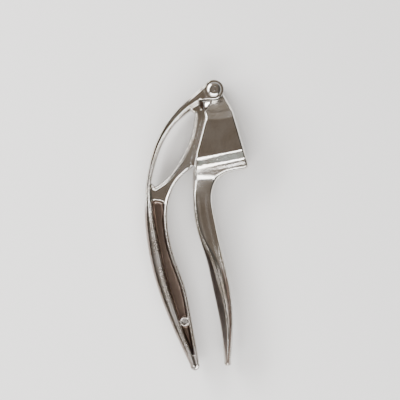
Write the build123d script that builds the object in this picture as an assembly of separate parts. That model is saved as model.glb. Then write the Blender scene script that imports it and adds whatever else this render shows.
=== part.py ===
from build123d import *
import os
from math import cos, sin, sqrt, radians

# Cast aluminium garlic press, closed, lying on the side of its hopper.
# Sizes in millimetres. Every shape is drawn about the hinge axis (x = y = 0, z = 0 half-way
# through the press, handles towards -y, perforated plate towards +x) and moved to PIVOT last.

# ---- driving dimensions -------------------------------------------------------------------
PIVOT = (9.4, 72.45, 12.0)     # hinge axis and mid-plane, from the middle of the underside

HOPPER_HALF = 12.0             # half the width over the hopper's side walls
HANDLE_HALF = 7.0              # half the width of both handles and of the curved arm
KNUCKLE_HALF = 4.3             # half the width of the middle knuckle
SLOT_HALF = 4.6                # half the width of the fork's slot
FORK_HALF = 7.6                # half the width over the fork's ears

KNUCKLE_R = 5.3                # radius of the knuckle and of the fork's ears
SLOT_R = 7.6                   # radius that the slot is cleared to, round the knuckle
SHOULDER_R = 5.9               # radius at which the hopper's shoulders begin
PIN_R = 2.0                    # hinge pin, pressed into the fork's ears
PIN_RUNNING = 0.05             # radial clearance of the pin in the knuckle
PIN_HEAD_R = 3.8
PIN_HEAD_HEIGHT = 1.6
PIN_HEAD_ROUND = 1.2

PLATE_TILT = 16.2              # degrees between the perforated plate and the -y axis
PLATE_OUTSIDE = 6.7            # distance of the plate's outer face from the hinge axis
PLATE_THICKNESS = 2.2
HOLE_R = 0.95                  # holes through the plate, in staggered rows
HOLE_PITCH = 3.1
HOLE_ROWS = 10
HOLES_IN_A_ROW = 6             # every other row has one fewer
HOLE_FIRST_ROW = 14.6          # distance of the first row from the hinge, along the plate

CAVITY_TOP_R = 10.5            # hopper cavity: inner and outer radius about the hinge
CAVITY_END_R = 43.2
PLUNGER_GAP = 0.4              # plunger to hopper, all round
PLUNGER_TOP_R = 12.0
PLUNGER_END_R = 42.8
PLUNGER_WALL = 3.2             # thickness round the pockets in the plunger's sides
PLUNGER_BACK_WALL = 2.6        # thickness between those pockets and the plunger's back
PLUNGER_FACE = 4.6             # thickness of the plunger's pressing face
NECK_HALF = 6.0                # half the width of the neck from the arm to the plunger
NECK_RUN_IN = 2.0              # how far the neck runs into the arm
SHELF_HALF = 2.5               # half the thickness of the shelf under the throat
WEB_HALF = 1.6                 # half the thickness of the web left between deep pockets

FLANGE = 4.2                   # width of the outer flange beside the left handle's pockets
RIB = 1.9                      # width of the inner rib beside them
GROOVE_DEPTH = 1.6             # grooves in both sides of the right handle

HANG_HOLE = (-15.5, -123.9)
HANG_HOLE_R = 1.5
HANG_BOSS_R = 2.7
HANG_BOSS_HALF = 6.0

BEYOND = 300.0                 # cutters reach this far, past every part of the press
OVERRUN = 1.0                  # drills run this far past the faces that they go through

# Half widths against distance from the hinge: (radius, half width)
HOPPER_PROFILE = [(SHOULDER_R, 5.2), (6.5, 5.6), (11.0, 8.7), (12.9, 10.7),
                  (16.4, HOPPER_HALF), (34.3, HOPPER_HALF), (39.5, 8.6), (45.4, 8.3),
                  (48.4, HANDLE_HALF), (152.0, HANDLE_HALF)]
CAVITY_PROFILE = [(CAVITY_TOP_R, 6.4), (15.5, 10.0), (33.0, 10.0), (38.5, 7.2),
                  (CAVITY_END_R, 7.1)]
PLUNGER_PROFILE = [(PLUNGER_TOP_R, 7.0), (15.7, 9.6), (32.6, 9.6), (38.1, 6.8),
                   (PLUNGER_END_R, 6.7)]

# ---- outlines, seen along the hinge axis ---------------------------------------------------
ARM_OUTER = [(-3.6, 4.0), (-11.2, -2.2), (-19.2, -9.6), (-25.7, -17.6), (-31.4, -28.6),
             (-35.2, -42.0), (-37.1, -57.0), (-36.7, -74.0), (-33.6, -93.5), (-26.5, -116.5),
             (-12.8, -147.4)]
ARM_TIP = (-10.2, -150.2)
ARM_INNER = [(-7.8, -146.6), (-9.6, -135.5), (-12.0, -122.0), (-15.4, -105.5), (-21.3, -88.7),
             (-24.7, -72.0), (-23.9, -58.5), (-19.5, -48.8), (-11.6, -41.4)]
ARM_THROAT = [(-11.6, -41.4), (-10.6, -33.3), (-6.1, -16.6), (-6.1, -11.5), (-7.5, -8.3),
              (-7.5, -5.9), (-1.0, -5.2)]
EYE_LEFT = [(-12.5, -11.2), (-18.9, -16.5), (-26.4, -26.9), (-30.7, -37.6), (-33.6, -49.5)]
EYE_RIGHT = [(-31.4, -51.7), (-26.6, -48.4), (-18.3, -37.6), (-12.8, -26.0), (-10.2, -13.0)]

SHOULDER_RIGHT = [(4.9, -2.0), (8.0, -7.2), (10.1, -10.9)]
HOPPER_CORNER = [(18.3, -39.0), (17.9, -41.6), (15.2, -42.8)]
BACK_RIGHT = [(15.2, -42.8), (7.5, -44.6), (1.6, -48.8), (-0.9, -56.0), (0.1, -66.5),
              (4.8, -88.2), (8.7, -105.5), (10.4, -125.5), (9.1, -145.0)]
HANDLE_TIP = (7.3, -147.9)
LEFT_POCKET_TIP = (-11.6, -140.5)
BACK_LEFT = [(5.5, -145.4), (3.4, -125.5), (-0.7, -106.0), (-4.2, -90.5), (-9.4, -73.8),
             (-11.2, -60.0), (-11.4, -44.4)]
MOUTH = [(-11.4, -44.4), (-10.7, -41.9), (-9.6, -33.3), (-5.2, -16.6), (-5.2, -6.1),
         (-2.4, -5.7), (-2.4, -4.6)]
GROOVE_TOP = (-0.9, -78.0)
GROOVE_TIP = (8.6, -134.0)
GROOVE_LEFT = [(0.9, -88.2), (5.0, -105.5), (8.0, -122.0)]
GROOVE_RIGHT = [(3.4, -88.2), (7.4, -105.5), (9.1, -122.0)]
PLUNGER_BACK = [(-4.4, -10.0), (-4.4, -16.6), (-9.0, -33.3), (-10.4, -43.0)]
SHELF = [(-9.0, -6.2), (-5.6, -6.2), (-5.6, -12.4), (-9.0, -12.4)]


def outline(*edges):
    """A closed face from curves in order, with straight lines across any gaps."""
    chain = []
    for current, following in zip(edges, edges[1:] + edges[:1]):
        chain.append(current)
        if (current @ 1 - following @ 0).length > 0.001:
            chain.append(Line(current @ 1, following @ 0))
    return make_face(chain)


def slab(face, half):
    """The face, thickened by the same amount above and below the mid-plane."""
    return extrude(face, amount=half, both=True)


def turned(profile):
    """Solid of revolution about the hinge, with half width against radius as given."""
    above = [(r, 0, half) for r, half in profile]
    below = [(r, 0, -half) for r, half in reversed(profile)]
    return revolve(make_face(Polyline(*above, *below, close=True)), Axis.Z)


def drilled(radius, at=(0, 0)):
    """Cutter for a round hole right through the press, along the hinge axis."""
    return slab(Pos(*at) * Circle(radius), 2 * HOPPER_HALF)


def plate_frame(offset, along=0.0):
    """Placement with its z axis square to the perforated plate and its x axis along it."""
    tilt = radians(PLATE_TILT)
    normal = Vector(cos(tilt), sin(tilt), 0)
    down = Vector(sin(tilt), -cos(tilt), 0)
    return Plane(origin=normal * offset + down * along, x_dir=down, z_dir=normal)


def behind_plate(offset):
    """Everything on the hinge side of a plane parallel to the plate."""
    block = Box(BEYOND, BEYOND, BEYOND, align=(Align.CENTER, Align.CENTER, Align.MAX))
    return plate_frame(offset) * block


def side_pockets(face, web_half):
    """Cutter for matching pockets in both sides, leaving a web at the mid-plane."""
    return slab(face, 2 * HOPPER_HALF) - slab(face, web_half)


def plate_holes():
    """Cutters for the staggered holes through the perforated plate."""
    row_step = HOLE_PITCH * sqrt(3) / 2
    inside = PLATE_OUTSIDE - PLATE_THICKNESS
    holes = []
    for row in range(HOLE_ROWS):
        columns = HOLES_IN_A_ROW - row % 2
        place = plate_frame(inside - OVERRUN, HOLE_FIRST_ROW + row * row_step)
        for column in range(columns):
            across = (column - (columns - 1) / 2) * HOLE_PITCH
            drill = Cylinder(HOLE_R, PLATE_THICKNESS + 2 * OVERRUN,
                             align=(Align.CENTER, Align.CENTER, Align.MIN))
            holes.append(place * Pos(0, across, 0) * drill)
    return holes


def make_hopper_arm():
    """Hopper with its perforated plate, middle knuckle and right-hand handle."""
    face = outline(Spline(*SHOULDER_RIGHT), ThreePointArc(*HOPPER_CORNER),
                   Spline(*BACK_RIGHT), ThreePointArc(BACK_RIGHT[-1], HANDLE_TIP, BACK_LEFT[0]),
                   Spline(*BACK_LEFT), Polyline(*MOUTH))
    body = slab(face, HOPPER_HALF) & turned(HOPPER_PROFILE)
    knuckle = slab(Circle(KNUCKLE_R) + face, KNUCKLE_HALF)
    keep_knuckle = drilled(HOPPER_PROFILE[1][0])
    body += knuckle & keep_knuckle
    body -= turned(CAVITY_PROFILE) & behind_plate(PLATE_OUTSIDE - PLATE_THICKNESS)
    body -= plate_holes()
    body -= drilled(PIN_R + PIN_RUNNING)
    return body - right_handle_grooves()


def right_handle_grooves():
    """Shallow grooves along both sides of the right handle, between its ridge and its rim."""
    side = outline(Spline(GROOVE_TOP, *GROOVE_LEFT, GROOVE_TIP),
                   Spline(GROOVE_TIP, *reversed(GROOVE_RIGHT), GROOVE_TOP))
    return side_pockets(side, HANDLE_HALF - GROOVE_DEPTH)


def left_handle_pockets():
    """Deep hollows along both sides of the left handle, between flange and rib."""
    left = [(x + FLANGE, y) for x, y in ARM_OUTER[6:-1]]
    right = [(x - RIB, y) for x, y in ARM_INNER[2:-2]]
    side = outline(Spline(*left, LEFT_POCKET_TIP), Spline(LEFT_POCKET_TIP, *right))
    return side_pockets(side, WEB_HALF)


def right_of(line):
    """Side view of everything to the right of a line, between the heights of its ends."""
    top, bottom = line[0], line[-1]
    return make_face(Polyline(*line, (BEYOND, bottom[1]), (BEYOND, top[1]), close=True))


def ring(inner, outer):
    """Everything between two distances from the hinge axis."""
    return drilled(outer) - drilled(inner)


def make_plunger():
    """The plunger block, as wide as the hopper's cavity less its gap, and its narrower neck."""
    face_at = PLATE_OUTSIDE - PLATE_THICKNESS - PLUNGER_GAP
    block = slab(right_of(PLUNGER_BACK), HOPPER_HALF) & turned(PLUNGER_PROFILE)
    block &= behind_plate(face_at)
    front = [(x + PLUNGER_BACK_WALL, y) for x, y in PLUNGER_BACK]
    pockets = side_pockets(right_of(front), WEB_HALF) & behind_plate(face_at - PLUNGER_FACE)
    pockets &= ring(PLUNGER_TOP_R + PLUNGER_WALL, PLUNGER_END_R - PLUNGER_WALL)
    rear = [(x - NECK_RUN_IN, y) for x, y in PLUNGER_BACK]
    neck = slab(right_of(rear) - right_of(front), NECK_HALF)
    return block - pockets + (neck & ring(PLUNGER_TOP_R, PLUNGER_END_R))


def make_plunger_arm():
    """Fork, curved arm, plunger and left-hand handle."""
    face = outline(Spline(*ARM_OUTER), ThreePointArc(ARM_OUTER[-1], ARM_TIP, ARM_INNER[0]),
                   Spline(*ARM_INNER), Polyline(*ARM_THROAT))
    eye = outline(Spline(*EYE_LEFT), Spline(*EYE_RIGHT))
    body = slab(face - eye, HANDLE_HALF) + slab(Circle(KNUCKLE_R), FORK_HALF)
    body -= left_handle_pockets()
    body += make_plunger()
    body += slab(make_face(Polyline(*SHELF, close=True)), SHELF_HALF)
    body += slab(Pos(*HANG_HOLE) * Circle(HANG_BOSS_R), HANG_BOSS_HALF)
    body -= drilled(HANG_HOLE_R, HANG_HOLE)
    body -= slab(Circle(SLOT_R), SLOT_HALF)
    return body - drilled(PIN_R)


def make_hinge_pin():
    """Pin with a flat head, rounded at the edge, on each side."""
    pin = Cylinder(PIN_R, 2 * FORK_HALF)
    head = Cylinder(PIN_HEAD_R, PIN_HEAD_HEIGHT, align=(Align.CENTER, Align.CENTER, Align.MIN))
    head = fillet(head.edges().sort_by(Axis.Z)[-1], PIN_HEAD_ROUND)
    upper = Pos(0, 0, FORK_HALF) * head
    return pin + upper + mirror(upper, Plane.XY)


os.makedirs("parts", exist_ok=True)
for name, shape in {
    "hopper_arm": make_hopper_arm(),
    "plunger_arm": make_plunger_arm(),
    "hinge_pin": make_hinge_pin(),
}.items():
    export_step(Pos(*PIVOT) * shape, f"parts/{name}.step")
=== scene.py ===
import math
from collections import namedtuple

import bpy
import numpy as np
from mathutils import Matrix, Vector


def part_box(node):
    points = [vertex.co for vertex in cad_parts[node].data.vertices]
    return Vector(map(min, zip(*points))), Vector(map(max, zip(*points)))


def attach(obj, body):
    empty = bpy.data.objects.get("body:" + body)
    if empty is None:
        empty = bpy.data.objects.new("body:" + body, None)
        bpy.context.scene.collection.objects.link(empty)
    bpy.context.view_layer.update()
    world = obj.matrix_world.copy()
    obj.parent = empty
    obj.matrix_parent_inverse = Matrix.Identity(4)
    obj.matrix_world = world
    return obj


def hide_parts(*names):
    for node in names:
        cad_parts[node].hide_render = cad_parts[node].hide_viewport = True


# Looks of the cast aluminium garlic press. Both castings are drawn here as smooth implicit
# solids, in millimetres about the hinge axis: x towards the perforated plate, y from the handle
# tips to the hinge, z along the pin with 0 half-way through the press. A solid is negative
# inside, and is meshed on a regular grid whose points are then moved onto its surface.

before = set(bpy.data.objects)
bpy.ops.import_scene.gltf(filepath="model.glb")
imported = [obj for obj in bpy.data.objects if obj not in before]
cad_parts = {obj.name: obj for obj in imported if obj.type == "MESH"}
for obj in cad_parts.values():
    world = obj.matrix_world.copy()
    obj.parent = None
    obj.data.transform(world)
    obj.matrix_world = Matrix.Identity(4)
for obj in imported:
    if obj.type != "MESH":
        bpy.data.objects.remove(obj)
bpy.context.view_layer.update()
PIN_LOW, PIN_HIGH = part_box("hinge_pin")
HINGE = (PIN_LOW + PIN_HIGH) / 2
MM = 0.001
PITCH = 0.4      # grid of the finished meshes
FINE = 0.25                             # grid on which distances from the outlines are kept

# ---- outlines, as in the CAD ---------------------------------------------------------------
ARM_OUTER = [(-3.6, 4.0), (-11.2, -2.2), (-19.2, -9.6), (-25.7, -17.6), (-31.4, -28.6),
             (-35.2, -42.0), (-37.1, -57.0), (-36.7, -74.0), (-33.6, -93.5), (-26.5, -116.5),
             (-12.8, -147.4)]
ARM_TIP = (-10.2, -150.2)
ARM_INNER = [(-7.8, -146.6), (-9.6, -135.5), (-12.0, -122.0), (-15.4, -105.5), (-21.3, -88.7),
             (-24.7, -72.0), (-23.9, -58.5), (-19.5, -48.8), (-11.6, -41.4)]
ARM_THROAT = [(-11.6, -41.4), (-10.6, -33.3), (-6.1, -16.6), (-6.1, -11.5), (-7.5, -8.3),
              (-7.5, -5.9), (-1.0, -5.2)]
EYE_LEFT = [(-12.5, -11.2), (-18.9, -16.5), (-26.4, -26.9), (-30.7, -37.6), (-33.6, -49.5)]
EYE_RIGHT = [(-31.4, -51.7), (-26.6, -48.4), (-18.3, -37.6), (-12.8, -26.0), (-10.2, -13.0)]
SHOULDER_RIGHT = [(4.9, -2.0), (8.0, -7.2), (10.1, -10.9)]
HOPPER_CORNER = [(18.3, -39.0), (17.9, -41.6), (15.2, -42.8)]
BACK_RIGHT = [(15.2, -42.8), (7.5, -44.6), (1.6, -48.8), (-0.9, -56.0), (0.1, -66.5),
              (4.8, -88.2), (8.7, -105.5), (10.4, -125.5), (9.1, -145.0)]
HANDLE_TIP = (7.3, -147.9)
BACK_LEFT = [(5.5, -145.4), (3.4, -125.5), (-0.7, -106.0), (-4.2, -90.5), (-9.4, -73.8),
             (-11.2, -60.0), (-11.4, -44.4)]
MOUTH = [(-11.4, -44.4), (-10.7, -41.9), (-9.6, -33.3), (-5.2, -16.6), (-5.2, -6.1),
         (-2.4, -5.7), (-2.4, -4.6)]
PLUNGER_BACK = [(-4.4, -10.0), (-4.4, -16.6), (-9.0, -33.3), (-10.4, -43.0)]
# the raised bead that runs from the hinge down the curved arm and on to the handle's tip
LONG_BEAD = [(-1.0, -4.9), (-5.5, -5.5), (-8.0, -6.6), (-10.5, -8.1), (-13.2, -9.9),
             (-19.4, -15.9), (-27.1, -26.6), (-31.4, -37.4), (-34.2, -49.0), (-34.4, -56.0),
             (-33.7, -63.0), (-32.9, -70.0), (-31.2, -80.0), (-29.1, -90.0), (-26.9, -100.0),
             (-23.9, -110.0), (-20.6, -120.0), (-17.1, -130.0), (-13.1, -140.0), (-10.4, -147.6)]

# ---- sizes: radii, half widths along z, and distances from the hinge -----------------------
KNUCKLE_R, KNUCKLE_HALF = 5.3, 4.3
FORK_HALF, SLOT_HALF, SLOT_R = 7.6, 4.6, 7.6
PIN_R, HEAD_R, HEAD_HEIGHT = 2.0, 3.8, 1.6
PIN_RUNNING = 0.05                      # radial clearance of the pin in the knuckle
HANG_HOLE, HANG_R, BOSS_R, BOSS_HALF = (-15.5, -123.9), 1.5, 2.75, 6.1
PLATE_TILT, PLATE_INSIDE = math.radians(16.2), 4.5
HOLE_R, HOLE_PITCH, HOLE_ROWS, HOLE_FIRST_ROW = 0.95, 3.1, 10, 14.6
HOLES_IN_A_ROW = 6                      # every other row has one fewer
DRILL_FROM = 3.6                        # offset at which the plate's holes begin, in the cavity
CAVITY_FROM, CAVITY_TO = 11.6, 43.2
PLUNGER_FROM, PLUNGER_TO, PLUNGER_GAP = 12.0, 42.8, 0.4
HOLLOW_FROM, HOLLOW_TO = 15.2, 39.6     # pockets in the plunger's sides
PLUNGER_FACE, PLUNGER_BACK_WALL = 4.6, 2.6
NECK_FROM, NECK_TO, NECK_SIDE = 11.8, 42.4, 2.4
SHELF_MIDDLE, SHELF_REACH = (-7.3, -9.3), (1.75, 3.1)
WEB_HALF, SHELF_HALF = 1.6, 2.5
SHOULDER_CENTRE, SHOULDER_R = (0.5, 14.0), 14.0
FACET_X, FACET_Y = -1.0, -5.4           # facet on the corner between the knuckle and the mouth
BAND_TILT = math.radians(11.5)          # the bands across the foot of the hopper
RECESS_TOP, RECESS_END = (-29.0, -59.3), -143.0
RIB, BESIDE_BEAD = 1.9, 0.8             # what the left handle's recess leaves beside it
BEYOND = 60.0                           # past every part of the press

WALL_INSET, DRAFT = 0.1, 0.02           # walls stand back from the outline, and lean by DRAFT
SEAM, SEAM_WIDTH = 0.09, 0.45           # parting line left by the mould at z = 0
SLOPE = 0.9                             # distance from a sloping side, as a share of the drop to it


# ---- curves --------------------------------------------------------------------------------
def spline(points, step=0.7):
    """Points along the natural cubic spline through the given ones."""
    p = np.array(points, float)
    t = np.concatenate([[0], np.cumsum(np.hypot(*np.diff(p, axis=0).T))])
    h, n = np.diff(t), len(p)
    lhs, rhs = np.eye(n), np.zeros((n, 2))
    for i in range(1, n - 1):
        lhs[i, i - 1:i + 2] = h[i - 1], 2 * (h[i - 1] + h[i]), h[i]
        rhs[i] = 6 * ((p[i + 1] - p[i]) / h[i] - (p[i] - p[i - 1]) / h[i - 1])
    bend = np.linalg.solve(lhs, rhs)
    s = np.linspace(0, t[-1], int(t[-1] / step) + 2)
    k = np.clip(np.searchsorted(t, s, side="right") - 1, 0, n - 2)
    width = h[k][:, None]
    a = ((t[k + 1] - s) / h[k])[:, None]
    b = 1 - a
    return a * p[k] + b * p[k + 1] + ((a**3 - a) * bend[k] + (b**3 - b) * bend[k + 1]) * width**2 / 6


def arc(start, middle, end, count=24):
    """Points along the circular arc through three points."""
    (ax, ay), (bx, by), (cx, cy) = start, middle, end
    d = 2 * (ax * (by - cy) + bx * (cy - ay) + cx * (ay - by))
    a2, b2, c2 = ax * ax + ay * ay, bx * bx + by * by, cx * cx + cy * cy
    ux = (a2 * (by - cy) + b2 * (cy - ay) + c2 * (ay - by)) / d
    uy = (a2 * (cx - bx) + b2 * (ax - cx) + c2 * (bx - ax)) / d
    angles = [math.atan2(y - uy, x - ux) for x, y in (start, middle, end)]
    full = 2 * math.pi
    first, turn = (angles[1] - angles[0]) % full, (angles[2] - angles[0]) % full
    if first > turn:
        turn -= full
    at = angles[0] + np.linspace(0, turn, count)
    r = math.hypot(ax - ux, ay - uy)
    return np.stack([ux + r * np.cos(at), uy + r * np.sin(at)], axis=1)


def distance(x, y, line):
    """Distance of each point from an open line."""
    best = np.full(x.shape, 1e9)
    for (ax, ay), (bx, by) in zip(line[:-1], line[1:]):
        dx, dy = bx - ax, by - ay
        length2 = dx * dx + dy * dy
        if length2 < 1e-12:
            continue
        px, py = x - ax, y - ay
        t = np.clip((px * dx + py * dy) / length2, 0, 1)
        best = np.minimum(best, (px - t * dx) ** 2 + (py - t * dy) ** 2)
    return np.sqrt(best)


def signed(x, y, ring):
    """Distance from a closed outline, negative inside it."""
    ring = np.concatenate([ring, ring[:1]])
    inside = np.zeros(x.shape, bool)
    for (ax, ay), (bx, by) in zip(ring[:-1], ring[1:]):
        if ay != by:
            inside ^= ((ay > y) != (by > y)) & (x < (bx - ax) * (y - ay) / (by - ay) + ax)
    return np.where(inside, -1, 1) * distance(x, y, ring)


class Field:
    """A quantity kept on a fine grid and read back anywhere by cubic interpolation."""

    def __init__(self, low, high, function):
        self.low = low
        axes = [np.arange(a, b, FINE) for a, b in zip(low, high)]
        self.values = function(*np.meshgrid(*axes, indexing="ij"))

    def __call__(self, x, y):
        total = 0.0
        (i, wx), (j, wy) = [self.weights(v, k) for k, v in enumerate((x, y))]
        for a in range(4):
            row = 0.0
            for b in range(4):
                row = row + wy[b] * self.values[i + a, j + b]
            total = total + wx[a] * row
        return total

    def weights(self, v, axis):
        u = (v - self.low[axis]) / FINE
        i = np.clip(np.floor(u).astype(int), 1, self.values.shape[axis] - 3)
        f = np.clip(u - i, 0, 1)
        f2, f3 = f * f, f * f * f
        return i - 1, ((-f3 + 2 * f2 - f) / 2, (3 * f3 - 5 * f2 + 2) / 2,
                       (-3 * f3 + 4 * f2 + f) / 2, (f3 - f2) / 2)


def profile(knots, blur):
    """A function through the given points, straight between them and rounded over blur."""
    at, value = np.array(knots, float).T
    grid = np.arange(at[0] - 6 * blur, at[-1] + 6 * blur, blur / 12)
    kernel = np.exp(-0.5 * (np.arange(-36, 37) / 12) ** 2)
    straight = np.pad(np.interp(grid, at, value), 36, mode="edge")
    smooth = np.convolve(straight, kernel / kernel.sum(), mode="valid")
    return lambda v: np.interp(v, grid, smooth)


# ---- ways to join solids -------------------------------------------------------------------
def either(a, b, k):
    """Union, with a fillet of about k."""
    h = np.maximum(k - np.abs(a - b), 0) / k
    return np.minimum(a, b) - h * h * k / 4


def both(a, b, k):
    """Intersection, with its edge rounded by about k."""
    return -either(-a, -b, k)


def rounded(a, b, r):
    """Intersection of two faces at right angles, with an edge of radius r."""
    a, b = a + r, b + r
    return np.minimum(np.maximum(a, b), 0) + np.hypot(np.maximum(a, 0), np.maximum(b, 0)) - r


def between(v, low, high):
    """Negative where v lies between the two limits."""
    return np.maximum(low - v, v - high)


def ramp(v, low, high):
    """0 below the first limit and 1 beyond the second, with a smooth rise between them."""
    t = np.clip((v - low) / (high - low), 0, 1)
    return t * t * (3 - 2 * t)


def hump(v, centre, width):
    """1 at the centre, falling smoothly to 0 on both sides."""
    return np.exp(-(((v - centre) / width) ** 2))


def plate_offset(x, y):
    """Distance from the hinge axis measured square to the perforated plate."""
    return x * math.cos(PLATE_TILT) + y * math.sin(PLATE_TILT)


def down(x, y, tilt):
    """Distance from the hinge axis measured down a line that leans to the right by tilt."""
    return x * math.sin(tilt) - y * math.cos(tilt)


def cast_body(edge, height, radius, z):
    """The body inside an outline: its walls, with their parting line, and its rounded sides."""
    tall = np.abs(z)
    wall = edge + DRAFT * tall + WALL_INSET - SEAM * np.exp(-((z / SEAM_WIDTH) ** 2))
    return rounded(wall, (tall - height) * SLOPE, radius)


# ---- hopper arm ----------------------------------------------------------------------------
HOPPER_LOW, HOPPER_HIGH, HOPPER_DEPTH = (-14.0, -150.5), (21.0, 7.5), 12.4
hopper_ring = np.concatenate([spline(SHOULDER_RIGHT), arc(*HOPPER_CORNER), spline(BACK_RIGHT),
                              arc(BACK_RIGHT[-1], HANDLE_TIP, BACK_LEFT[0]), spline(BACK_LEFT),
                              np.array(MOUTH)])
hopper_edge = Field(HOPPER_LOW, HOPPER_HIGH, lambda x, y: signed(x, y, hopper_ring))
handle_left = Field(HOPPER_LOW, HOPPER_HIGH, lambda x, y: distance(x, y, spline(BACK_LEFT)))
handle_right = Field(HOPPER_LOW, HOPPER_HIGH, lambda x, y: distance(x, y, spline(BACK_RIGHT)))

shoulder_height = profile([(4.0, 5.2), (6.0, 5.6), (11.0, 8.7), (12.9, 10.25), (16.4, 12.0),
                           (60.0, 12.0)], 0.45)
foot_height = profile([(0.0, 12.0), (34.3, 12.0), (39.3, 8.75), (41.6, 8.41), (42.0, 8.05),
                       (42.5, 8.15), (46.0, 7.68), (60.0, 7.3)], 0.6)
soft_foot_height = profile([(0.0, 12.0), (34.3, 12.0), (39.3, 8.75), (42.4, 8.25), (46.0, 7.68),
                            (60.0, 7.3)], 1.3)
neck_height = profile([(20.0, 24.0), (45.9, 8.3), (47.4, 7.38), (50.0, 7.14), (53.0, 7.04),
                       (57.0, 7.0), (200.0, 7.0)], 0.4)
cavity_half = profile([(9.0, 6.4), (10.5, 6.4), (15.5, 10.0), (33.0, 10.0), (38.5, 7.2),
                       (46.0, 7.1)], 0.3)

# right handle: where its ridge runs, from the left edge, and how the section changes downwards
ridge_at = profile([(-150, 1.5), (-140, 2.3), (-130, 3.3), (-120, 4.0), (-112, 4.3), (-105, 4.4),
                    (-98, 4.1), (-92, 3.7), (-85, 2.8), (-80, 2.0), (-75, 1.4), (-52, 1.1)], 2.0)
lower_part = profile([(-150, 1), (-98, 1), (-82, 0), (-50, 0)], 2.5)

# about a place in the plan: distance from the outline, half width, radius of the edge, distance
# from the hinge, distance square to the plate, and distance down along the plate
HopperPlan = namedtuple("HopperPlan", "edge height radius reach offset along")


def handle_relief(x, y):
    """How far the right handle's sides lie below its half width of 7: a flank that rises from
    the left edge to the ridge, and a rim along the right edge."""
    left, right = handle_left(x, y), handle_right(x, y)
    low = lower_part(y)
    at = ridge_at(y)
    width = left + right
    drop = 0.5 + 1.3 * low * ramp(right, 0.2, 1.8)
    drop = drop - (0.4 + 1.3 * low) * hump(left, at, 0.7 + 0.75 * low)
    drop = drop - (0.45 + 0.95 * low) * hump(right, 0.7, 0.55)
    ripples = sum(hump(left - share * width, 0, 0.7) for share in (0.62, 0.36))
    drop = drop - 0.03 * (1 - low) * ripples
    flank = np.clip((at - left) / np.maximum(at, 0.1), 0, 1)
    return drop + (0.3 + low * (1.05 * at - 0.3)) * flank**1.25


def hopper_height(x, y):
    """Half width of the hopper arm: shoulder, foot with its bands, neck and handle in turn."""
    centre_x, centre_y = SHOULDER_CENTRE
    shoulder = shoulder_height(np.hypot(x - centre_x, y - centre_y) - SHOULDER_R)
    across = down(x, y, BAND_TILT)
    soft = 1 - ramp(x, -7, 9)           # the bands fade out to the left
    foot = foot_height(across) * (1 - soft) + soft_foot_height(across) * soft
    neck = neck_height(-y + 0.04 * x)
    height = either(either(shoulder, foot, 0.5), neck, 0.7)
    below_mouth = ramp(-y, 37.5, 40.5) * (1 - ramp(-y, 52, 57))
    height = height - 0.03 * below_mouth * np.maximum(-4.5 - x, 0) ** 2
    facet = 5.5 + 0.40 * (x - FACET_X) - 0.23 * (y - FACET_Y)
    share = ramp(0.577 * (y - FACET_Y) - 0.817 * (x - FACET_X), -0.9, 0.3)
    height = height + (facet - height) * share
    return height - ramp(-y, 49, 66) * handle_relief(x, y)


def hopper_rounding(y, offset):
    """Radius of the edge round the hopper arm's sides, which is sharper beside the mouth."""
    mouth_side = 1 - ramp(offset, -6, 1)
    radius = 1.5 - 0.65 * mouth_side * (1 - ramp(-y, 36, 41))
    radius = radius - 0.5 * mouth_side * (1 - ramp(-y, 9.5, 12.5))
    radius = radius + 0.8 * mouth_side * hump(y, -15.0, 1.6)
    return radius + 0.9 * mouth_side * hump(y, -47.0, 4.0)


def hopper_plan(x, y):
    """What hopper_solid needs to know about each place. The knuckle is as low as the fork needs."""
    offset, reach = plate_offset(x, y), np.hypot(x, y)
    height = hopper_height(x, y)
    height = KNUCKLE_HALF + (height - KNUCKLE_HALF) * ramp(reach, 5.55, 5.85)
    return HopperPlan(edge=hopper_edge(x, y), height=height, radius=hopper_rounding(y, offset),
                      reach=reach, offset=offset, along=down(x, y, PLATE_TILT))


def plate_holes(along, z):
    """Nearest hole of the staggered pattern: distance from its wall, positive outside it."""
    step = HOLE_PITCH * math.sqrt(3) / 2
    nearest = np.full(np.broadcast(along, z).shape, np.inf)
    for row in range(HOLE_ROWS):
        columns = HOLES_IN_A_ROW - row % 2
        reach = (columns - 1) / 2 * HOLE_PITCH
        across = np.clip(np.round((z + reach) / HOLE_PITCH), 0, columns - 1) * HOLE_PITCH - reach
        away = np.hypot(along - HOLE_FIRST_ROW - row * step, z - across)
        nearest = np.minimum(nearest, away)
    return nearest - HOLE_R


def hopper_solid(plan, z):
    """The hopper arm: its body and knuckle, less the cavity, the plate's holes and the pin's."""
    tall = np.abs(z)
    body = cast_body(plan.edge, plan.height, plan.radius, z)
    knuckle = rounded(plan.reach - KNUCKLE_R + 0.03, tall - KNUCKLE_HALF, 0.4)
    body = either(body, knuckle, 0.3)
    cavity = both(tall - cavity_half(plan.reach), between(plan.reach, CAVITY_FROM, CAVITY_TO), 0.8)
    cavity = both(cavity, plan.offset - PLATE_INSIDE, 0.8)
    body = both(body, -cavity, 0.5)
    drilled = both(plate_holes(plan.along, z), DRILL_FROM - plan.offset, 0.2)
    body = both(body, -drilled, 0.35)
    return both(body, PIN_R + PIN_RUNNING - plan.reach, 0.3)


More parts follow.
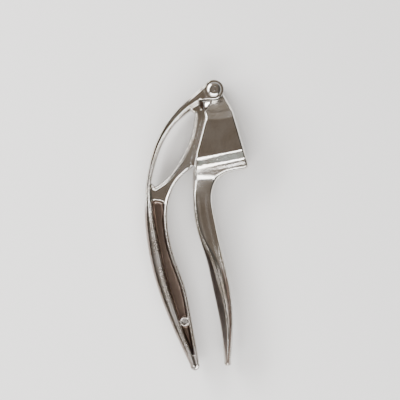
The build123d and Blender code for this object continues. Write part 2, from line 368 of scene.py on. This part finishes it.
# ---- plunger arm ---------------------------------------------------------------------------
PLUNGER_LOW, PLUNGER_HIGH, PLUNGER_DEPTH = (-39.0, -152.5), (17.5, 7.5), 10.2
arm_ring = np.concatenate([spline(ARM_OUTER), arc(ARM_OUTER[-1], ARM_TIP, ARM_INNER[0]),
                           spline(ARM_INNER), np.array(ARM_THROAT)])
eye_ring = np.concatenate([spline(EYE_LEFT), spline(EYE_RIGHT)])
arm_edge = Field(PLUNGER_LOW, PLUNGER_HIGH, lambda x, y: signed(x, y, arm_ring))
arm_eye = Field(PLUNGER_LOW, PLUNGER_HIGH, lambda x, y: signed(x, y, eye_ring))
arm_outer = Field(PLUNGER_LOW, PLUNGER_HIGH, lambda x, y: distance(x, y, spline(ARM_OUTER)))
arm_inner = Field(PLUNGER_LOW, PLUNGER_HIGH, lambda x, y: distance(x, y, spline(ARM_INNER)))
eye_right = Field(PLUNGER_LOW, PLUNGER_HIGH, lambda x, y: distance(x, y, spline(EYE_RIGHT)))
long_bead = Field(PLUNGER_LOW, PLUNGER_HIGH, lambda x, y: distance(x, y, spline(LONG_BEAD)))
back_ring = np.array(PLUNGER_BACK + [(BEYOND, y) for _, y in (PLUNGER_BACK[-1], PLUNGER_BACK[0])])
plunger_back = Field(PLUNGER_LOW, PLUNGER_HIGH, lambda x, y: signed(x, y, back_ring))
plunger_spine = Field(PLUNGER_LOW, PLUNGER_HIGH, lambda x, y: distance(x, y, PLUNGER_BACK))

plunger_half = profile([(10.0, 7.0), (12.0, 7.0), (15.7, 9.6), (32.6, 9.6), (38.1, 6.8),
                        (46.0, 6.7)], 0.3)
bead_at = profile([(-150, 2.3), (-140, 2.8), (-130, 3.1), (-120, 3.9), (-110, 4.2), (-100, 4.2),
                   (-90, 4.3), (-80, 3.9), (-70, 3.4), (-62, 3.1), (-50, 2.8)], 2.0)

# the same, and: distances from the eye, recess, plunger's back, neck's middle, shelf and hole
PlungerPlan = namedtuple("PlungerPlan", "edge eye height radius recess offset reach back "
                                        "near_back shelf hang")


def plunger_height(x, y, low):
    """Half width of the plunger arm, with its outer rim, long bead, eye rim and inner rib."""
    outer, inner, bead = arm_outer(x, y), arm_inner(x, y), long_bead(x, y)
    at_hinge = 1 - ramp(np.hypot(x, y), 5, 15)
    rim = hump(outer, 0.75 + 0.35 * low, 0.5 + 0.3 * low)
    eye_rim = hump(eye_right(x, y), 0.85, 0.65) * ramp(-y, 9, 14)
    ridge = np.maximum(hump(bead, 0, 0.55 + 0.3 * low), eye_rim)
    height = 6.05 + 0.15 * low + 1.4 * at_hinge
    height = height + (0.95 - 0.35 * low - 0.3 * at_hinge) * rim
    height = height + (0.95 - 0.4 * at_hinge) * ridge
    height = height + 0.55 * hump(inner, 0.6, 0.45) * ramp(-y, 41, 43) * (1 - low)
    return height + 0.5 * hump(inner, 0.95, 0.65) * low


def handle_recess(x, y):
    """Negative in the left handle's deep recess, between its bead and its inner rib."""
    beside_bead = np.maximum(bead_at(y) - arm_outer(x, y), BESIDE_BEAD - long_bead(x, y))
    top = (y - RECESS_TOP[1]) + 0.15 * (x - RECESS_TOP[0])
    sides = both(beside_bead, RIB - arm_inner(x, y), 0.8)
    return both(sides, both(top, RECESS_END - y, 0.8), 2.5)


def plunger_plan(x, y):
    """What plunger_solid needs to know about each place."""
    low = ramp(-y, 50, 62)
    outer_side = ramp(arm_inner(x, y) - arm_outer(x, y), -2, 2)
    shelf = np.maximum(np.abs(x - SHELF_MIDDLE[0]) - SHELF_REACH[0],
                       np.abs(y - SHELF_MIDDLE[1]) - SHELF_REACH[1])
    return PlungerPlan(edge=arm_edge(x, y), eye=arm_eye(x, y), height=plunger_height(x, y, low),
                       radius=0.85 + 0.75 * low * outer_side, recess=handle_recess(x, y),
                       offset=plate_offset(x, y), reach=np.hypot(x, y), back=plunger_back(x, y),
                       near_back=plunger_spine(x, y), shelf=shelf,
                       hang=np.hypot(x - HANG_HOLE[0], y - HANG_HOLE[1]))


def curved_arm(plan, z):
    """The curved arm and left handle, with the fork's ears, the recesses and the hanging hole."""
    tall = np.abs(z)
    body = cast_body(both(plan.edge, -plan.eye, 0.05), plan.height, plan.radius, z)
    ear = rounded(plan.reach - KNUCKLE_R + 0.03, tall - FORK_HALF, 0.6)
    body = either(body, ear, 0.8)
    pocket = both(plan.recess + 0.1 * (plan.height - tall), WEB_HALF - tall, 1.2)
    body = both(body, -pocket, 0.45)
    boss = rounded(plan.hang - BOSS_R, tall - BOSS_HALF, 1.1)
    body = either(body, boss, 0.6)
    return both(body, HANG_R - plan.hang, 0.7)


def plunger_block(plan, z):
    """The plunger itself, with a pocket in each side."""
    tall = np.abs(z)
    face = PLATE_INSIDE - PLUNGER_GAP
    length = between(plan.reach, PLUNGER_FROM, PLUNGER_TO)
    block = both(both(tall - plunger_half(plan.reach), length, 0.8),
                 both(plan.offset - face, plan.back, 0.8), 0.8)
    hollow = both(both(WEB_HALF - tall, between(plan.reach, HOLLOW_FROM, HOLLOW_TO), 0.8),
                  both(plan.offset - face + PLUNGER_FACE, plan.back + PLUNGER_BACK_WALL, 0.8), 0.8)
    return both(block, -hollow, 0.5)


def plunger_solid(plan, z):
    """The plunger arm: its casting with neck, plunger and shelf, less the fork's slot."""
    tall = np.abs(z)
    neck = np.maximum(plan.near_back - NECK_SIDE, tall - plan.height + 0.05)
    neck = np.maximum(neck, between(plan.reach, NECK_FROM, NECK_TO))
    body = either(either(curved_arm(plan, z), neck, 0.3), plunger_block(plan, z), 0.5)
    body = either(body, rounded(plan.shelf, tall - SHELF_HALF, 0.4), 0.8)
    slot = np.maximum(tall - SLOT_HALF, plan.reach - SLOT_R)
    body = both(body, -slot, 0.3)
    return both(body, PIN_R - plan.reach, 0.2)


# ---- meshing -------------------------------------------------------------------------------
def lattice(low, high, depth):
    """Grid lines along x, y and z, with the z lines placed evenly about 0."""
    lines = [np.arange(a, b + PITCH, PITCH) for a, b in zip(low, high)]
    count = int(depth / PITCH) + 2
    return lines[0], lines[1], (np.arange(2 * count) - count + 0.5) * PITCH


def surface_net(values, lines):
    """Vertices, one in each grid cell the surface crosses, and the quads that join them."""
    inside = values < 0
    shape = [n - 1 for n in values.shape]
    corners = [(i, j, k) for i in (0, 1) for j in (0, 1) for k in (0, 1)]
    count = sum(inside[tuple(slice(c, c + n) for c, n in zip(corner, shape))].astype(np.int8)
                for corner in corners)
    cells = np.argwhere((count > 0) & (count < len(corners)))
    number = np.full(shape, -1)
    number[tuple(cells.T)] = np.arange(len(cells))
    return net_points(values, cells, corners, lines), net_quads(inside, number)


def net_points(values, cells, corners, lines):
    """The middle of the places where the surface crosses each cell's edges."""
    total, found = np.zeros((len(cells), 3)), np.zeros(len(cells))
    for a in corners:
        for axis in range(3):
            if a[axis]:
                continue
            b = tuple(1 if i == axis else c for i, c in enumerate(a))
            va, vb = (values[tuple((cells + c).T)] for c in (a, b))
            cut = (va < 0) != (vb < 0)
            point = np.array(a, float) + np.zeros_like(total)
            point[:, axis] = np.where(cut, va / np.where(cut, va - vb, 1), 0)
            total += point * cut[:, None]
            found += cut
    at = cells + total / found[:, None]
    return np.stack([np.interp(at[:, i], np.arange(len(g)), g) for i, g in enumerate(lines)],
                    axis=1)


def net_quads(inside, number):
    """A quad round every grid edge that the surface crosses, facing outwards."""
    shape = number.shape
    quads = []
    for axis in range(3):
        one, two = [i for i in range(3) if i != axis]
        low = np.take(inside, range(shape[axis]), axis)
        high = np.take(inside, range(1, shape[axis] + 1), axis)
        for turn, crossing in ((1, low & ~high), (-1, ~low & high)):
            at = np.argwhere(crossing)
            at = at[(at[:, one] > 0) & (at[:, two] > 0)
                    & (at[:, one] < shape[one]) & (at[:, two] < shape[two])]
            ring = []
            for d1, d2 in ((-1, -1), (0, -1), (0, 0), (-1, 0)):
                cell = at.copy()
                cell[:, one] += d1
                cell[:, two] += d2
                ring.append(number[tuple(cell.T)])
            if axis == 1:
                turn = -turn
            quads.append(np.stack(ring[::turn], axis=1))
    return np.concatenate(quads)


def settle(points, quads, plan_of, solid, rounds=3):
    """Evens the mesh out along the surface and moves every point onto it, by up to 0.3 mm at a
    time. Gives the points and their normals."""
    ends = np.concatenate([quads, np.roll(quads, 1, axis=1)], axis=1).reshape(-1, 2, 4)
    start, end = ends[:, 0].ravel(), ends[:, 1].ravel()
    total = len(points)
    count = np.bincount(start, minlength=total) + np.bincount(end, minlength=total)
    for step in range(rounds):
        value, normal = slope(points, plan_of, solid)
        if step < rounds - 1:
            near = [np.bincount(start, points[end, i], total)
                    + np.bincount(end, points[start, i], total) for i in range(3)]
            pull = 0.5 * (np.stack(near, axis=1) / count[:, None] - points)
            pull -= normal * (pull * normal).sum(axis=1)[:, None]
            points = points + pull
        points = points - normal * np.clip(value, -0.3, 0.3)[:, None]
    value, normal = slope(points, plan_of, solid)
    return points - normal * np.clip(value, -0.1, 0.1)[:, None], normal


def slope(points, plan_of, solid, step=0.06):
    """Distance from the surface, to first order, and the direction away from it."""
    x, y, z = points.T
    here = plan_of(x, y)
    value = solid(here, z)
    dx = solid(plan_of(x + step, y), z) - solid(plan_of(x - step, y), z)
    dy = solid(plan_of(x, y + step), z) - solid(plan_of(x, y - step), z)
    dz = solid(here, z + step) - solid(here, z - step)
    gradient = np.stack([dx, dy, dz], axis=1) / (2 * step)
    steep = np.maximum(np.linalg.norm(gradient, axis=1), 0.2)
    return value / steep, gradient / steep[:, None]


def mesh_object(name, points, faces):
    """Smooth-shaded object from points in millimetres about the hinge."""
    mesh = bpy.data.meshes.new(name)
    mesh.from_pydata((points * MM + np.array(HINGE)).tolist(), [], faces)
    mesh.polygons.foreach_set("use_smooth", np.ones(len(mesh.polygons), bool))
    mesh.update()
    obj = bpy.data.objects.new(name, mesh)
    bpy.context.scene.collection.objects.link(obj)
    return obj


def casting(name, low, high, depth, plan_of, solid, finish_shade_mark):
    """Object of a solid, with the surface's own normals and its mark of finish and painted shade."""
    lines = lattice(low, high, depth)
    plan = plan_of(*np.meshgrid(lines[0], lines[1], indexing="ij"))
    plan = plan._make(v[:, :, None] for v in plan)
    points, quads = surface_net(solid(plan, lines[2][None, None, :]), lines)
    points, normals = settle(points, quads, plan_of, solid)
    obj = mesh_object(name, points, quads.tolist())
    obj.data.normals_split_custom_set_from_vertices(normals.tolist())
    mark = obj.data.attributes.new("finish_and_painted_shade", "FLOAT", "POINT")
    mark.data.foreach_set("value", np.asarray(finish_shade_mark(points, normals), np.float32))
    obj.data.update()
    return obj


# ---- finish of the castings ----------------------------------------------------------------
# The castings' mark of finish and painted shade is 0 on polished metal. Up to 0.5 the metal only
# gets rougher, which makes it lighter where it would mirror the dark side of the room. From there
# to 1 its colour darkens too, and beyond 1 it turns nearly black. The darkening is painted shade
# wherever the marks below say so, and the near black is all painted shade.
SATIN, TUMBLED_AND_SHADE, ROUGH_AND_DARK, BLACK_SHADE = 0.5, 0.68, 1.0, 1.3


def tumbled_walls(normals):
    """The walls square to the mid-plane are only tumbled, not buffed."""
    return TUMBLED_AND_SHADE * (1 - ramp(np.abs(normals[:, 2]), 0.25, 0.55))


def hopper_finish_and_shade(points, normals):
    """Finish and painted shade of the hopper arm: a rough, dark cavity, satin foot, neck with
    darker stripes painted as the shade of its faint ridges, and a rougher lower handle darkened as
    painted shade, lighter on ridge and rim as painted highlight, with flank and groove painted
    nearly black as shade."""
    x, y, z = points.T
    reach, left, right = np.hypot(x, y), handle_left(x, y), handle_right(x, y)
    low = lower_part(y)
    before = ridge_at(y) - left         # how far left of the ridge
    inside = ((plate_offset(x, y) < PLATE_INSIDE + 0.3) & (np.abs(z) < cavity_half(reach) + 0.3)
              & (reach > 10) & (reach < 43.6))
    # painted shade: left of the lower right handle's ridge, the flank's faces that look along z are
    # rougher and coloured nearly black
    flank = BLACK_SHADE * ramp(-y, 74, 82) * ramp(before + 0.7 * ramp(-y, 100, 112), 0.8, 1.6)
    flank = flank * ramp(np.abs(normals[:, 2]), 0.15, 0.45)
    # painted shade and painted highlight: the lower right handle is rougher and its colour darkened
    # as shade, less on its ridge and right rim, which stay lighter as painted highlight
    shine = np.maximum(hump(before, 0.1, 1.0), 0.9 * hump(right, 0.4, 0.5))
    rougher_and_shaded = (0.7 - 0.3 * shine) * ramp(-y, 84, 98)
    # painted shade: the groove inside the right rim of the lower right handle is coloured nearly
    # black
    wide = ramp(y, -118, -100)
    groove = 1.15 * low * hump(right, 1.6 + 0.6 * wide, 0.7 + 0.35 * wide)
    # painted shade: two darker, rougher stripes down the upper right handle stand for the shading of
    # its faint ridges
    share = left / np.maximum(left + right, 1)
    streaks = np.maximum(hump(share, 0.26, 0.11), hump(share, 0.67, 0.055))
    streaks = TUMBLED_AND_SHADE * streaks * ramp(-y, 54, 60) * (1 - ramp(-y, 88, 98))
    satin = SATIN * ramp(down(x, y, BAND_TILT), 39.8, 40.6) * (1 - ramp(-y, 51, 62))
    satin = satin * (1 - 0.6 * ramp(x, -7, -1) * ramp(-y, 47, 49))
    return np.maximum.reduce([ROUGH_AND_DARK * inside, flank, rougher_and_shaded, groove, streaks, satin,
                              tumbled_walls(normals)])


def plunger_finish_and_shade(points, normals):
    """Finish and painted shade of the plunger arm: recess and shelf rough and darkened as painted
    shade, plunger rougher and a little darker, branch rougher, and the handle rougher and darkened
    as painted shade.
    """
    x, y, z = points.T
    plan = plunger_plan(x, y)
    # painted shade: the left handle's recess is rough and its colour darkened more the deeper it
    # goes
    deep = ROUGH_AND_DARK * ramp(-plan.recess, -0.3, 0.5) * ramp(plan.height - np.abs(z), 0.8, 2.0)
    block = (plan.reach > 11) & (plan.offset > -8) & (y > -44)
    # painted shade: the shelf in the gap between the two arms is rough and darkened
    shelf = (x > -7.3) & (y < -5.9) & (y > -12.8) & (np.abs(z) < SHELF_HALF + 0.5)
    # painted shade: the left handle is rougher and its colour darkened as shade, most along its
    # outer edge
    rougher_and_shaded = (0.72 + 0.2 * (1 - ramp(arm_outer(x, y), 1.3, 2.2))) * ramp(-y, 50, 68)
    branch = (1 - ramp(eye_right(x, y), 5, 7)) * ramp(-y, 13, 18) * (1 - ramp(-y, 46, 54))
    return np.maximum.reduce([deep, ROUGH_AND_DARK * shelf, 0.6 * block, rougher_and_shaded, 0.45 * branch,
                              tumbled_walls(normals)])


hopper_arm = casting("hopper_arm_casting", HOPPER_LOW, HOPPER_HIGH, HOPPER_DEPTH,
                     hopper_plan, hopper_solid, hopper_finish_and_shade)
plunger_arm = casting("plunger_arm_casting", PLUNGER_LOW, PLUNGER_HIGH, PLUNGER_DEPTH,
                      plunger_plan, plunger_solid, plunger_finish_and_shade)


# ---- hinge pin -----------------------------------------------------------------------------
def lathe(name, outline, segments=96):
    """Solid turned about the hinge from (radius, z) points, from the lower end to the upper."""
    turn = np.linspace(0, 2 * math.pi, segments, endpoint=False)
    rings = [np.stack([r * np.cos(turn), r * np.sin(turn), np.full(segments, z)], axis=1)
             for r, z in outline]
    ends = np.array([[0, 0, outline[0][1]], [0, 0, outline[-1][1]]])
    points = np.concatenate(rings + [ends])
    lower_end, upper_end = len(points) - 2, len(points) - 1
    last_ring = (len(outline) - 1) * segments
    faces = []
    for i in range(segments):
        j = (i + 1) % segments
        for ring in range(0, last_ring, segments):
            faces.append((ring + i, ring + j, ring + segments + j, ring + segments + i))
        faces.append((lower_end, j, i))
        faces.append((upper_end, last_ring + i, last_ring + j))
    return mesh_object(name, points, faces)


def head_outline():
    """The upper head's outline, from its seat on the fork out over the dome and its small ring
    of a dent to the middle, as (radius, z)."""
    top = FORK_HALF + HEAD_HEIGHT
    dome = [(3.8, 1.1), (3.74, 0.93), (3.56, 0.74), (3.3, 0.56), (2.9, 0.36), (2.5, 0.21),
            (2.1, 0.11), (1.8, 0.08), (1.5, 0.12), (1.3, 0.2), (1.1, 0.24), (0.9, 0.2),
            (0.6, 0.09), (0.3, 0.02), (0.02, 0.0)]
    return [(HEAD_R, FORK_HALF - 0.02)] + [(r, top - below) for r, below in dome]


upper_head = head_outline()
lower_head = [(r, -z) for r, z in reversed(upper_head)]
shank = [(PIN_R, -FORK_HALF), (PIN_R, FORK_HALF)]
pin = lathe("hinge_pin_rivet", lower_head + shank + upper_head)


# ---- shader nodes --------------------------------------------------------------------------
class Graph:
    """Builds the nodes of a material or of the room. All but fill give the new node's output."""

    def __init__(self, tree):
        self.tree = tree

    def fill(self, socket, value):
        """Links an input to another node's output, or gives it a fixed value."""
        if isinstance(value, bpy.types.NodeSocket):
            self.tree.links.new(value, socket)
        else:
            socket.default_value = value

    def add(self, kind, output, inputs=None, **settings):
        """Any node: its kind, the output to give, what goes into it and how it is set."""
        node = self.tree.nodes.new("ShaderNode" + kind)
        for name, value in settings.items():
            setattr(node, name, value)
        for name, value in (inputs or {}).items():
            self.fill(node.inputs[name], value)
        return node.outputs[output]

    def noise(self, place, scale, detail):
        return self.add("TexNoise", "Fac", {"Vector": place, "Scale": scale, "Detail": detail})

    def remap(self, value, low, high, start=0.0, end=1.0):
        """Takes start..end to low..high, and holds it there beyond."""
        return self.add("MapRange", "Result", {"Value": value, "From Min": start, "From Max": end,
                                               "To Min": low, "To Max": high})

    def blend(self, colour, other, share):
        return self.add("Mix", "Result", {"A": colour, "B": other, "Factor": share},
                        data_type="RGBA")

    def sum(self, a, b):
        return self.add("Math", "Value", {0: a, 1: b}, operation="ADD")

    def product(self, a, b):
        return self.add("Math", "Value", {0: a, 1: b}, operation="MULTIPLY")


# ---- materials -----------------------------------------------------------------------------
# the first share gives the metal's random tone; the second darkens it for the duller cast finish and
# for painted shade
CLOUDED, CAST_DARK_AND_SHADE = (0.86, 0.82, 0.76), (0.26, 0.20, 0.17)      # shares of the metal's colour
# near black, used only for painted shade
SHADE_BLACK_COLOUR = (0.025, 0.026, 0.028, 1)


def shaded(colour, shares):
    return (*[c * share for c, share in zip(colour, shares)], 1)


def metal(name, colour, polished, cast, bump):
    """Metal that is rougher, then darker, where its mark of finish and painted shade is high. Its
    roughness goes from polished to cast as the mark goes from 0 to 1, and its grain is bump metres
    high. The darkening is painted shade, except on the tumbled walls where it is their duller
    finish, and the near black past 1 is all painted shade."""
    material = bpy.data.materials.new(name)
    material.use_nodes = True
    graph = Graph(material.node_tree)
    shader = material.node_tree.nodes["Principled BSDF"]
    place = graph.add("TexCoord", "Object")
    finish_shade_mark = graph.add("Attribute", "Fac", attribute_name="finish_and_painted_shade")
    cloudy = graph.noise(place, 90, 4)

    smooth = graph.remap(cloudy, polished - 0.05, polished + 0.05)
    rough = graph.sum(smooth, graph.product(finish_shade_mark, cast - polished))

    tinted = graph.blend(shaded(colour, CLOUDED), (*colour, 1), graph.remap(cloudy, -0.9, 2.1))
    # painted shade: the mark darkens the colour, and past 1 turns it nearly black
    cast_dark_and_shaded = graph.blend(tinted, shaded(colour, CAST_DARK_AND_SHADE), graph.remap(finish_shade_mark, 0, 1, 0.5, 1.0))
    shade_blackened = graph.blend(cast_dark_and_shaded, SHADE_BLACK_COLOUR, graph.remap(finish_shade_mark, 0, 1, 1.0, 1.5))

    uneven = graph.noise(place, 450, 2)
    fine = graph.noise(place, 1400, 3)
    grain = graph.noise(place, 3500, 2)
    drawn = graph.add("Mapping", "Vector", {"Vector": place, "Scale": (1, 0.12, 1)})
    streaks = graph.noise(drawn, 420, 3)
    height = graph.sum(graph.product(fine, 0.6), graph.product(streaks, 0.65))
    height = graph.sum(height, graph.product(uneven, 3.5))
    cast_grain = graph.product(graph.sum(graph.product(fine, 3.0), grain), finish_shade_mark)
    height = graph.sum(height, graph.product(cast_grain, 0.7))
    bumps = graph.add("Bump", "Normal", {"Strength": 1.0, "Distance": bump, "Height": height})

    shader.inputs["Metallic"].default_value = 1.0
    graph.fill(shader.inputs["Roughness"], rough)
    graph.fill(shader.inputs["Base Color"], shade_blackened)
    graph.fill(shader.inputs["Normal"], bumps)
    return material


aluminium = metal("polished_cast_aluminium", (0.80, 0.785, 0.76), 0.15, 0.32, 0.00003)
steel = metal("polished_pin", (0.84, 0.83, 0.81), 0.14, 0.4, 0.00001)

for piece, body, node, slot, material in (
    (hopper_arm, "hopper_arm", "hopper_arm", "cast_aluminium", aluminium),
    (plunger_arm, "plunger_arm", "plunger_arm", "cast_aluminium", aluminium),
    (pin, "plunger_arm", "hinge_pin", "pin_metal", steel),
):
    piece.data.materials.append(material)
    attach(piece, body)
    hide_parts(node)


# ---- studio, in metres ---------------------------------------------------------------------
FLOOR_HALF = 3.0
ROOM = (0.165, 0.135, 0.108, 1)
# shades of the room: the axis, where along it the shade starts and is full, and its colour
ROOM_SHADES = [("Y", 0.35, 0.9, (0.36, 0.32, 0.28, 1)),         # lighter beyond the hinge
               ("X", 0.15, 0.7, (0.085, 0.079, 0.071, 1)),      # darker on the right
               ("X", -0.4, -0.8, (0.34, 0.31, 0.27, 1)),        # lighter on the left
               ("Z", 0.30, 0.05, (0.11, 0.10, 0.092, 1))]       # darker near the horizon
SENSOR = 36.0                           # width of the camera's sensor, in millimetres
CAMERA_PLACE = (0.00194, 0.01355, 1.0)  # straight above the press
SEEN_WIDTH = 0.2132                     # width of the picture, at SEEN_HEIGHT above the floor
SEEN_HEIGHT = 0.019


def floor():
    """A large pale floor, at the height of the underside."""
    mesh = bpy.data.meshes.new("studio_floor")
    corners = [(x * FLOOR_HALF, y * FLOOR_HALF, 0) for x, y in ((-1, -1), (1, -1), (1, 1), (-1, 1))]
    mesh.from_pydata(corners, [], [(0, 1, 2, 3)])
    obj = bpy.data.objects.new("studio_floor", mesh)
    bpy.context.scene.collection.objects.link(obj)
    material = bpy.data.materials.new("pale_floor")
    material.use_nodes = True
    shader = material.node_tree.nodes["Principled BSDF"]
    shader.inputs["Base Color"].default_value = (0.80, 0.79, 0.78, 1)
    shader.inputs["Roughness"].default_value = 0.8
    mesh.materials.append(material)


def softbox(name, place, target, size, power, reflected=True, tint=(1, 1, 1)):
    """Rectangular light of the given size and power in watts, turned towards its target."""
    data = bpy.data.lights.new(name, "AREA")
    data.shape = "RECTANGLE"
    data.size, data.size_y = size
    data.energy = power
    data.color = tint
    obj = bpy.data.objects.new(name, data)
    obj.location = place
    obj.rotation_euler = (Vector(target) - Vector(place)).to_track_quat("-Z", "Y").to_euler()
    obj.visible_camera = False
    obj.visible_glossy = reflected
    bpy.context.scene.collection.objects.link(obj)


def surroundings():
    """A plain room in warm grey and slightly blotchy, shaded as ROOM_SHADES says."""
    world = bpy.data.worlds.new("plain_room")
    bpy.context.scene.world = world
    world.use_nodes = True
    graph = Graph(world.node_tree)
    place = graph.add("TexCoord", "Generated")
    colour = ROOM
    for axis, start, full, shade in ROOM_SHADES:
        along = graph.add("SeparateXYZ", axis, {"Vector": place})
        colour = graph.blend(colour, shade, graph.remap(along, 0, 1, start, full))
    strength = graph.remap(graph.noise(place, 7, 3), 0.7, 1.5, 0.3, 0.7)
    background = world.node_tree.nodes["Background"]
    graph.fill(background.inputs["Color"], colour)
    graph.fill(background.inputs["Strength"], strength)


floor()
surroundings()
softbox("left_softbox", (-0.57, 0.27, 0.50), (0, 0.04, 0), (0.8, 0.28), 7.5)
softbox("lower_softbox", (-0.05, -0.52, 0.66), (0, 0.0, 0), (0.95, 0.34), 10)
softbox("back_softbox", (-0.50, 0.55, 0.55), (0, 0.03, 0), (0.5, 0.28), 3.5)
softbox("front_softbox", (0.0, -0.95, 0.40), (0, 0, 0), (1.2, 0.26), 0.32, tint=(0.8, 1.0, 0.98))
softbox("ceiling_fill", (0.1, 0.1, 1.5), (0, 0, 0), (1.6, 1.6), 23, reflected=False)

camera = bpy.data.objects.new("camera", bpy.data.cameras.new("camera"))
bpy.context.scene.collection.objects.link(camera)
camera.location = CAMERA_PLACE
camera.rotation_euler = (0, 0, 0)
camera.data.sensor_width = SENSOR
camera.data.lens = SENSOR / SEEN_WIDTH * (CAMERA_PLACE[2] - SEEN_HEIGHT)
camera.data.clip_start, camera.data.clip_end = 0.01, 20
bpy.context.scene.camera = camera
